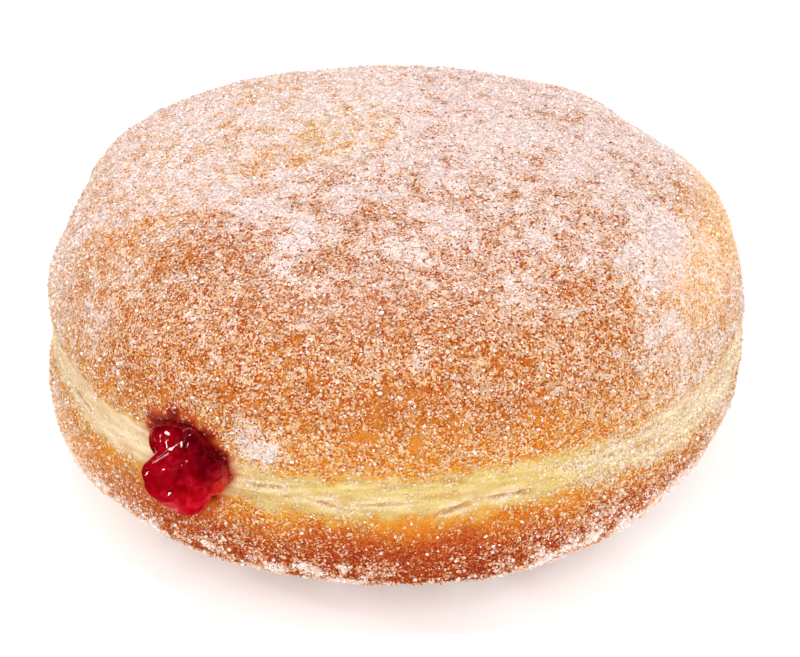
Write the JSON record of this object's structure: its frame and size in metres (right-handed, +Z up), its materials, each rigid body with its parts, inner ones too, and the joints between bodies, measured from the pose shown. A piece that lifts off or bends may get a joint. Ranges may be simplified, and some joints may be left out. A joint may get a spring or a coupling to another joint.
{
  "type": "jelly filled doughnut",
  "caption": "Round fried yeast doughnut, sugared all over, with a pale band round its waist and a blob of red jelly pushing out of a hole in its side.",
  "frame": {"origin": "centre of the flat patch that the doughnut rests on", "axes": "+Z up from the rest patch to the crown; -Y is the front, which shows the jelly to the left of its middle; +X is to the right as seen from the front"},
  "size_m": [0.0944, 0.0901, 0.0479],
  "materials": {
    "crust": "fried golden to orange crust, pale cream at the band, matt with a faint sheen of fat",
    "jelly": "wet, glossy, translucent red",
    "sugar": "granulated white sugar, small clear to white crystals"
  },
  "bodies": {
    "root": {"dough": "crust", "jelly": "jelly"}
  },
  "joints": []
}
